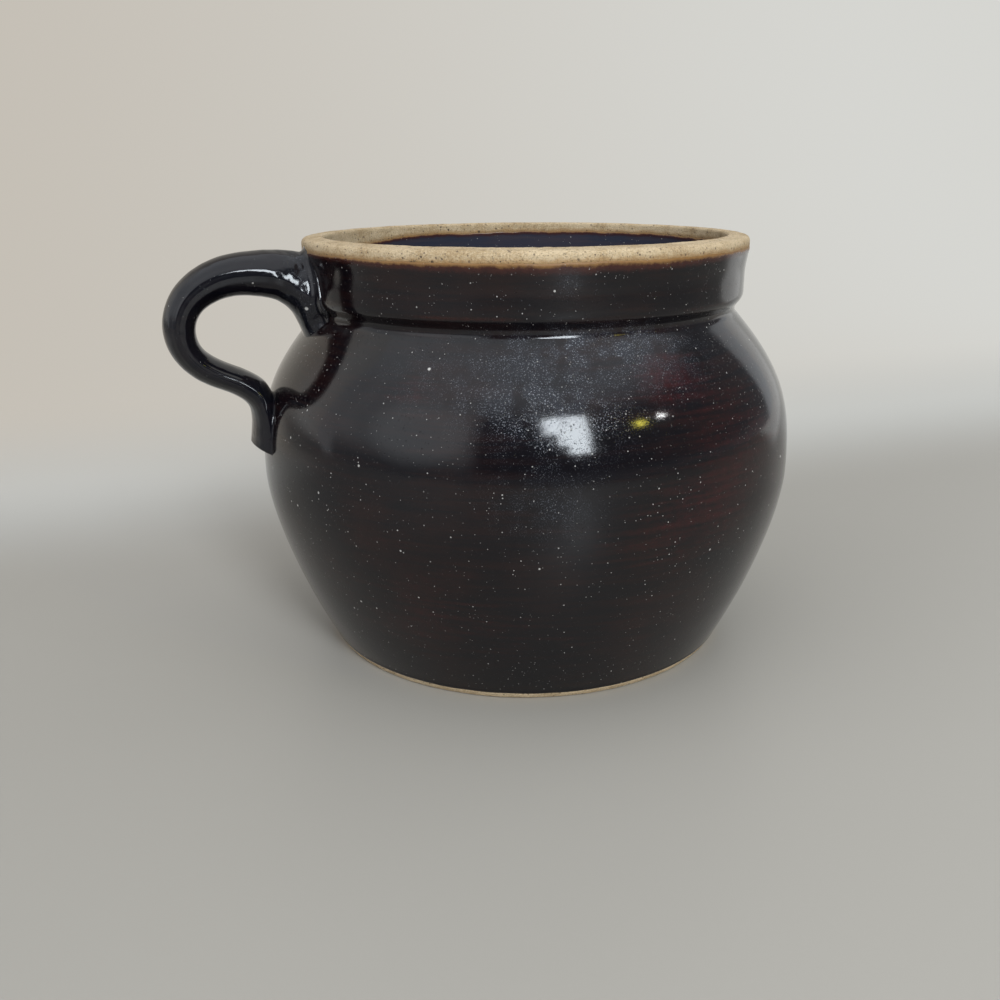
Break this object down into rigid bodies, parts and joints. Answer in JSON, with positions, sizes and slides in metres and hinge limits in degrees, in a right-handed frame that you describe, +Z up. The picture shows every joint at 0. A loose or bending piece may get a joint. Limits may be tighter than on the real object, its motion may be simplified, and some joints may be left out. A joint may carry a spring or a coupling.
{
  "type": "bean crock",
  "caption": "Squat round stoneware bean crock with an upright collar, a wide mouth, a pulled loop handle and a dark glaze.",
  "frame": {"origin": "middle of the flat foot, on the pot's axis", "axes": "+Z up along the pot's axis towards the mouth; the handle lies along -X, so +X points away from it; +Y completes the right-handed frame"},
  "size_m": [0.2027, 0.1762, 0.133],
  "materials": {
    "stoneware": "bare buff stoneware with dark specks, fired and unglazed",
    "handle_glaze": "glossy near-black slip glaze",
    "outside_glaze": "glossy near-black slip glaze with red-brown patches and fine pale specks",
    "inside_glaze": "glossy near-black slip glaze"
  },
  "bodies": {
    "root": {"crock_body": "stoneware", "handle": "handle_glaze", "outside_glaze": "outside_glaze", "inside_glaze": "inside_glaze"}
  },
  "joints": []
}
